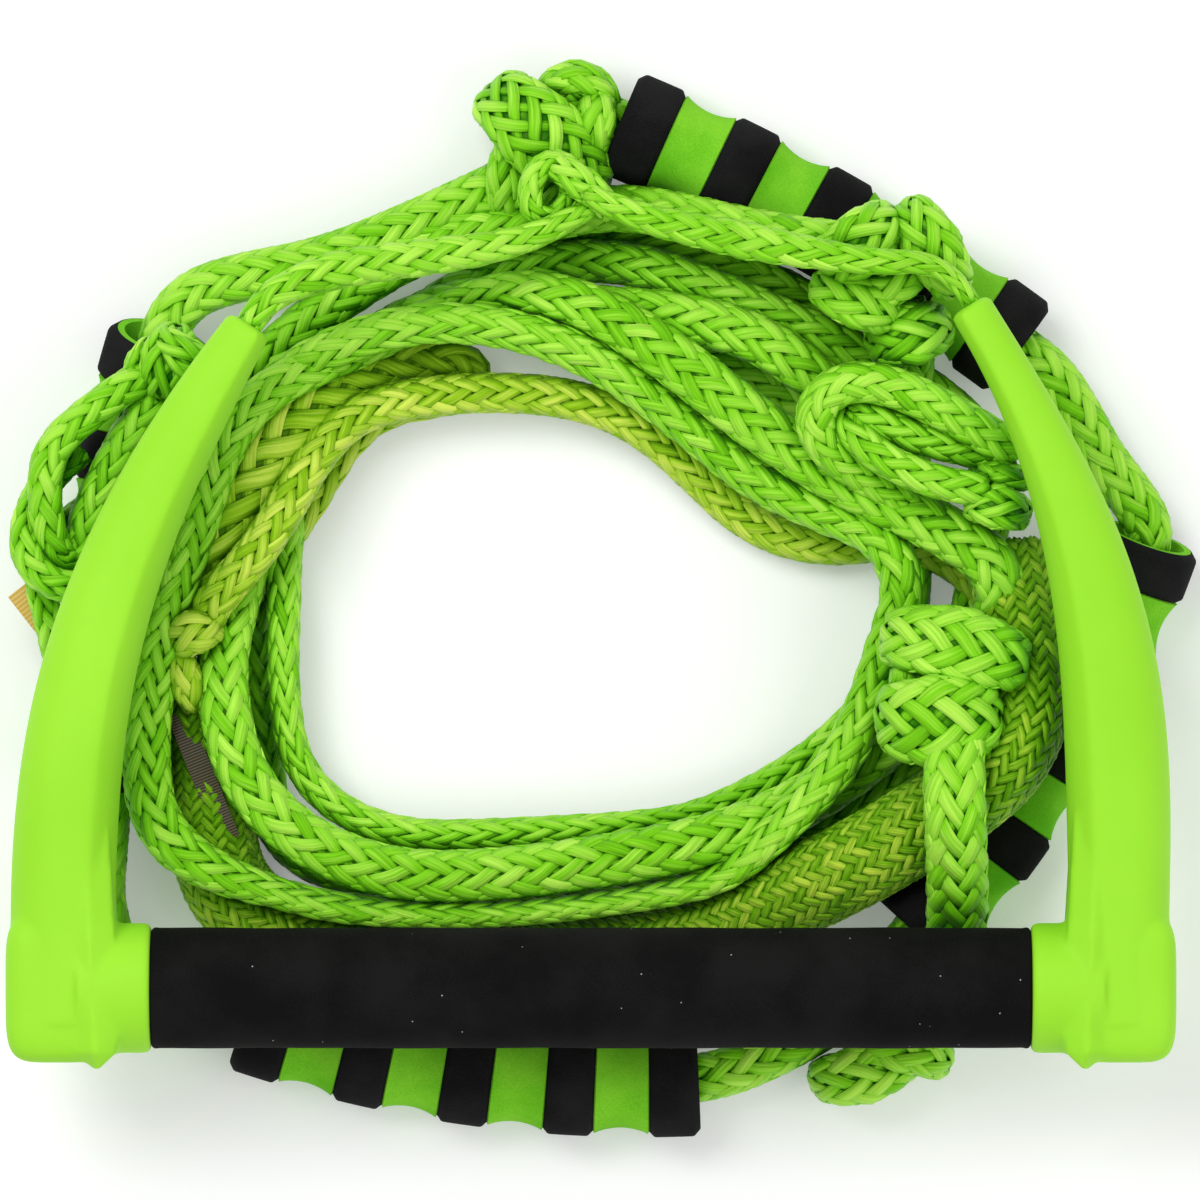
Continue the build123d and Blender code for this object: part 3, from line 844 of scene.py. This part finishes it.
# Each station: distance out, distance up the arm, half width, half depth.
ARM_STATIONS = {
    "left": [
        (127.5, -6, 11.6, 13.4), (126.5, 30, 12.3, 13.2), (123.5, 60, 12.3, 12.6),
        (117, 90, 10.4, 11.2), (106.5, 115, 9.4, 9.8), (95, 138, 7.9, 8), (82.6, 158, 5.6, 5.8),
    ],
    "right": [
        (127.8, -6, 11.6, 13.4), (127, 30, 12.3, 13.2), (125.5, 60, 12.3, 12.6),
        (122, 91, 10.6, 11.2), (115.3, 114, 8.9, 9.8), (110.3, 127.6, 7.1, 8.6),
        (101.6, 144.2, 5.9, 7.4), (91.6, 162.6, 5.2, 5.8),
    ],
}
CREASE_TURN = 2.05
CREASE_RISE = 1.5
HUB_MIDDLE = (127.8, 0.2, 0.0)
HUB_HALF = (12.5, 17.9, 13.2)
COLLAR_RADIUS = 15.6
COLLAR_END = 123.0
GRIP_SIDES = 96
COLLAR_SIDES = 72
ARM_VOXEL = 0.7
ARM_SMOOTHING = 7
CREASE_EDGE = 3.5
# Each station: distance out, distance up, half height, half width.
CREASE_STATIONS = (
    (121, 42, 12, 5.5), (119.9, 14, 15.2, 6.0), (118.9, -6, 15.9, 6.0), (118.5, -15, 15.4, 5.0),
    (118.4, -19.2, 12, 0.5),
)


def tilt(vertices):
    """The handle as it lies: its tips stand a little higher than the grip."""
    cos, sin = math.cos(HANDLE_TILT), math.sin(HANDLE_TILT)
    turned = np.array(vertices, float)
    turned[:, 1] = vertices[:, 1] * cos - vertices[:, 2] * sin
    turned[:, 2] = vertices[:, 1] * sin + vertices[:, 2] * cos
    return turned


def lathe_x(profile, sides):
    """A profile of (x, radius) turned round the X axis."""
    ring = 2 * math.pi * np.arange(sides) / sides
    cos, sin = np.cos(ring), np.sin(ring)
    return np.concatenate(
        [np.column_stack([np.full(sides, x), out * cos, out * sin]) for x, out in profile]
    )


def grip_profile():
    half = GRIP_LENGTH / 2
    edge = 1.1
    outer = [(-half, TUBE_RADIUS + 0.02), (-half, GRIP_RADIUS - edge)]
    outer += [
        (
            -half + edge * (1 - math.cos(turn)),
            GRIP_RADIUS - edge * (1 - math.sin(turn)),
        )
        for turn in np.linspace(0.3, math.pi / 2, 5)
    ]
    outer += [
        (x, GRIP_RADIUS + 0.06 * math.sin(x / 9.0) + 0.05 * math.sin(x / 3.7 + 1.0) - 0.1)
        for x in np.linspace(-half + edge + 1, half - edge - 1, 70)
    ]
    outer += [(-x, out) for x, out in outer[:7][::-1]]
    return outer


profile = grip_profile()
grip_faces = ring_quads(len(profile), GRIP_SIDES, closed=True)
grip = new_object("grip_foam", lathe_x(profile, GRIP_SIDES) * MM, grip_faces, GRIP_FOAM)
belongs(grip, ["grip_sleeve"])


def arm_tube(side):
    """The arm as a lofted tube in millimetres, with a rounded tip."""
    sign = -1 if side == "left" else 1
    stations = np.array(ARM_STATIONS[side], float)
    fits = [np.polyfit(stations[:, 1], stations[:, axis], 4) for axis in (0, 2, 3)]
    ups = np.linspace(-8.0, stations[-1, 1], 90)
    xs, halves, depths = (np.polyval(fit, ups) for fit in fits)
    slopes = np.polyval(np.polyder(fits[0]), ups)
    sides = 40
    ring = 2 * math.pi * np.arange(sides) / sides
    rings = []
    places = [(x, y, 1.0, w, d, s) for x, y, w, d, s in zip(xs, ups, halves, depths, slopes)]
    x_end, y_end, slope_end = xs[-1], ups[-1], slopes[-1]
    for turn in np.linspace(0.25, 1.45, 7):
        forward = 1.5 * math.sin(turn)
        run = math.hypot(1.0, slope_end)
        places.append(
            (
                x_end + slope_end / run * forward,
                y_end + forward / run,
                math.cos(turn) ** 0.35,
                halves[-1],
                depths[-1],
                slope_end,
            )
        )
    for x, y, scale, half, depth, slope in places:
        across = np.array([1.0, -slope, 0.0]) / math.hypot(1.0, slope)
        cos = np.sign(np.cos(ring)) * np.abs(np.cos(ring)) ** 0.88
        sin = np.sign(np.sin(ring)) * np.abs(np.sin(ring)) ** 0.88
        ridge = CREASE_RISE * np.exp(-np.abs(ring - CREASE_TURN) / 0.4)
        ridge += CREASE_RISE * np.exp(-np.abs(ring - (2 * math.pi - CREASE_TURN)) / 0.4)
        circle = np.array([x, y, 0.0]) + scale * (
            ((half + ridge * 0.5) * cos)[:, None] * across
            + ((depth + ridge) * sin)[:, None] * np.array([0, 0, 1.0])
        )
        rings.append(circle)
    vertices = np.concatenate(rings)
    vertices[:, 0] *= sign
    return vertices, tube_faces(len(rings), sides)


def rounded_box(middle, half, power=5.0, rows=36, columns=72):
    """A box with generous round edges: a superellipsoid."""
    vertices = []
    for row in range(rows + 1):
        rise = math.pi * (row / rows - 0.5)
        for column in range(columns):
            around = 2 * math.pi * column / columns
            x, y, z = (
                math.cos(rise) * math.cos(around),
                math.cos(rise) * math.sin(around),
                math.sin(rise),
            )
            size = (abs(x) ** power + abs(y) ** power + abs(z) ** power) ** (1 / power)
            size = max(size, 1e-9)
            vertices.append([middle[i] + half[i] * v / size for i, v in enumerate((x, y, z))])
    return np.array(vertices), ring_quads(rows + 1, columns)


def hub_crease(sign):
    """The arm's crease, carried on over the hub to a small point at its heel."""
    rings = []
    for x, y, top, side in CREASE_STATIONS:
        for across, up in (
            (-side, top - CREASE_EDGE),
            (0.0, top),
            (side, top - CREASE_EDGE),
            (side, CREASE_EDGE - top),
            (0.0, -top),
            (-side, CREASE_EDGE - top),
        ):
            rings.append((sign * (x + across), y, up))
    return np.array(rings), tube_faces(len(CREASE_STATIONS), 6)


def collar(sign):
    """The round collar between the hub and the grip."""
    low = GRIP_LENGTH / 2
    outer = [(low, 0.01), (low, COLLAR_RADIUS - 1.2), (low + 0.4, COLLAR_RADIUS - 0.4)]
    outer += [(low + 1.2, COLLAR_RADIUS), (COLLAR_END, COLLAR_RADIUS), (COLLAR_END, 0.01)]
    vertices = lathe_x([(sign * x, out) for x, out in outer], COLLAR_SIDES)
    return vertices, ring_quads(len(outer), COLLAR_SIDES, closed=True)


def fused(name, shells, material, voxel, smooth):
    """Overlapping closed shells, in millimetres, as one smooth skin."""
    vertices, faces = merged(shells)
    rough = new_object(name + "_rough", tilt(vertices) * MM, faces, material)
    remesh = rough.modifiers.new("skin", "REMESH")
    remesh.mode = "VOXEL"
    remesh.voxel_size = voxel * MM
    soften = rough.modifiers.new("soften", "SMOOTH")
    soften.factor = 0.6
    soften.iterations = smooth
    graph = bpy.context.evaluated_depsgraph_get()
    mesh = bpy.data.meshes.new_from_object(rough.evaluated_get(graph))
    mesh.name = name
    mesh.polygons.foreach_set("use_smooth", [True] * len(mesh.polygons))
    piece = bpy.data.objects.new(name, mesh)
    bpy.context.scene.collection.objects.link(piece)
    bpy.data.objects.remove(rough)
    return piece


for arm_side, arm_sign in (("left", -1), ("right", 1)):
    hub = rounded_box((arm_sign * HUB_MIDDLE[0], *HUB_MIDDLE[1:]), HUB_HALF)
    arm = fused(
        f"moulded_arm_{arm_side}",
        [arm_tube(arm_side), hub, collar(arm_sign), hub_crease(arm_sign)],
        ARM_RUBBER,
        ARM_VOXEL,
        ARM_SMOOTHING,
    )
    belongs(arm, [f"arm_{arm_side}"])


# ---- labels ---------------------------------------------------------------------------
def label_material(name, ground, bars, pitch):
    """A woven label: a fine weave with plain bars across it."""
    material, tree, shader = new_material(name)
    place = attribute(tree, "fibre")
    weave = add_node(tree, "TexChecker", {"Vector": place, "Scale": 3.2})
    stripes = add_node(
        tree,
        "TexWave",
        {"Vector": place, "Scale": pitch, "Distortion": 0.3},
        bands_direction="X",
    )
    ramp = color_ramp(tree, stripes.outputs["Fac"], [(0.55, ground), (0.62, bars)])
    mix = add_node(tree, "Mix", {}, data_type="RGBA", blend_type="MULTIPLY")
    set_inputs(tree, mix, {0: 0.25, 6: ramp, 7: weave.outputs["Color"]})
    set_inputs(tree, shader, {
        "Base Color": mix.outputs[2],
        "Normal": relief(tree, weave.outputs["Fac"], 0.4, 0.0002),
        "Roughness": 0.6,
    })
    return material


def label(name, node, material, middle, size, turn, sag, lean):
    """A thin woven strip, bent along its length over what it lies on."""
    width, length, thickness = size
    columns, rows = 8, 30
    across = np.linspace(-0.5, 0.5, columns + 1) * width
    along = np.linspace(-0.5, 0.5, rows + 1) * length
    grid_x, grid_y = np.meshgrid(across, along)
    rise = -sag * (2 * grid_y / length) ** 2 + lean * grid_x
    rise += 0.25 * np.sin(grid_y / 3.1)
    turned = math.radians(turn)
    x = grid_x * math.cos(turned) - grid_y * math.sin(turned)
    y = grid_x * math.sin(turned) + grid_y * math.cos(turned)
    top = np.stack([x, y, rise + thickness / 2], axis=-1).reshape(-1, 3)
    bottom = top - np.array([0, 0, thickness])
    count = len(top)
    vertices = (np.concatenate([top, bottom]) + np.array(middle)) * MM
    faces = []
    stride = columns + 1
    for row in range(rows):
        for column in range(columns):
            here = row * stride + column
            quad = (here, here + 1, here + stride + 1, here + stride)
            faces.append(quad)
            faces.append(tuple(corner + count for corner in reversed(quad)))
    edge = [row * stride for row in range(rows, -1, -1)]
    edge += list(range(1, stride))
    edge += [row * stride + columns for row in range(1, rows + 1)]
    edge += [rows * stride + column for column in range(columns - 1, 0, -1)]
    for here, after in zip(edge, edge[1:] + edge[:1]):
        faces.append((after, here, here + count, after + count))
    flat = np.stack([grid_y, grid_x, np.zeros_like(grid_x)], axis=-1).reshape(-1, 3)
    piece = new_object(
        name, vertices, faces, material, {"fibre": np.concatenate([flat, flat])}
    )
    piece.data.set_sharp_from_angle(angle=math.radians(40))
    belongs(piece, [node])


TAG_DARK = label_material("tag_dark", (0.020, 0.017, 0.012), (0.16, 0.12, 0.05), 0.45)
TAG_YELLOW = label_material("tag_yellow", (0.80, 0.45, 0.05), (0.85, 0.62, 0.22), 0.3)
label("care_label", "care_tag", TAG_DARK,
      (-94.0, 50.5, -28.5), (5.6, 33.0, 0.7), turn=22, sag=2.0, lean=0.1)
label("size_label", "size_tag", TAG_YELLOW,
      (-134.8, 90.3, -29.3), (6.0, 13.5, 0.7), turn=38, sag=0.4, lean=0.2)

# ---- inner pieces that keep their CAD shape -------------------------------------------
TUBE_METAL = moulded_material(
    "tube_metal", (0.72, 0.73, 0.74), (0.8, 0.81, 0.82), 0.34, Metallic=1.0
)
BUSH_PLASTIC = moulded_material("bush_plastic", (0.05, 0.05, 0.055), (0.075, 0.075, 0.08), 0.5)
INNER_ROPE = moulded_material("inner_rope", (0.12, 0.52, 0.01), (0.2, 0.62, 0.03), 0.6)
for node_name, node_material in (
    ("core_tube", TUBE_METAL),
    ("tube_bush_left", BUSH_PLASTIC),
    ("tube_bush_right", BUSH_PLASTIC),
    ("bridle_inner", INNER_ROPE),
):
    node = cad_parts[node_name]
    node.data.materials.clear()
    node.data.materials.append(node_material)

# ---- floor, light and camera ----------------------------------------------------------
FLOOR_HALF = 3.0
floor_material, floor_tree, floor_shader = new_material("floor")
floor_place = add_node(floor_tree, "TexCoord", {}).outputs["Object"]
floor_tint = color_ramp(
    floor_tree,
    noise(floor_tree, floor_place, 6.0, 3.0),
    [(0.3, (0.86, 0.86, 0.86)), (0.7, (0.88, 0.88, 0.88))],
)
set_inputs(floor_tree, floor_shader, {
    "Base Color": floor_tint,
    "Roughness": 0.75,
    "Emission Color": (1.0, 1.0, 1.0, 1.0),
    "Emission Strength": 0.2,
})
floor_corners = [
    (x * FLOOR_HALF, y * FLOOR_HALF, (FLOOR - 0.2) * MM)
    for x, y in ((-1, -1), (1, -1), (1, 1), (-1, 1))
]
floor = new_object("floor", floor_corners, [(0, 1, 2, 3)], floor_material)

world = bpy.data.worlds.new("studio")
world.use_nodes = True
world.node_tree.nodes["Background"].inputs["Color"].default_value = (1.0, 1.0, 1.0, 1.0)
world.node_tree.nodes["Background"].inputs["Strength"].default_value = 0.52
bpy.context.scene.world = world


def area_light(name, place, size, energy, aim):
    lamp = bpy.data.lights.new(name, "AREA")
    lamp.shape = "SQUARE"
    lamp.size = size
    lamp.energy = energy
    holder = bpy.data.objects.new(name, lamp)
    holder.location = place
    direction = np.array(aim) - np.array(place)
    holder.rotation_euler = Vector(direction).to_track_quat("-Z", "Y").to_euler()
    bpy.context.scene.collection.objects.link(holder)


area_light("key", (-0.55, 0.65, 1.3), 0.8, 12.5, (0.0, 0.08, 0.0))
area_light("fill", (0.8, -0.3, 1.1), 0.9, 5.0, (0.0, 0.08, 0.0))

CAMERA_PLACE = (0.00216, 0.0931, 3.0)
CAMERA_LENS = 375.0
lens = bpy.data.cameras.new("camera")
lens.lens = CAMERA_LENS
lens.sensor_width = 36.0
lens.clip_end = 20.0
camera = bpy.data.objects.new("camera", lens)
camera.location = CAMERA_PLACE
bpy.context.scene.collection.objects.link(camera)
bpy.context.scene.camera = camera
bpy.context.scene.view_settings.view_transform = "Standard"
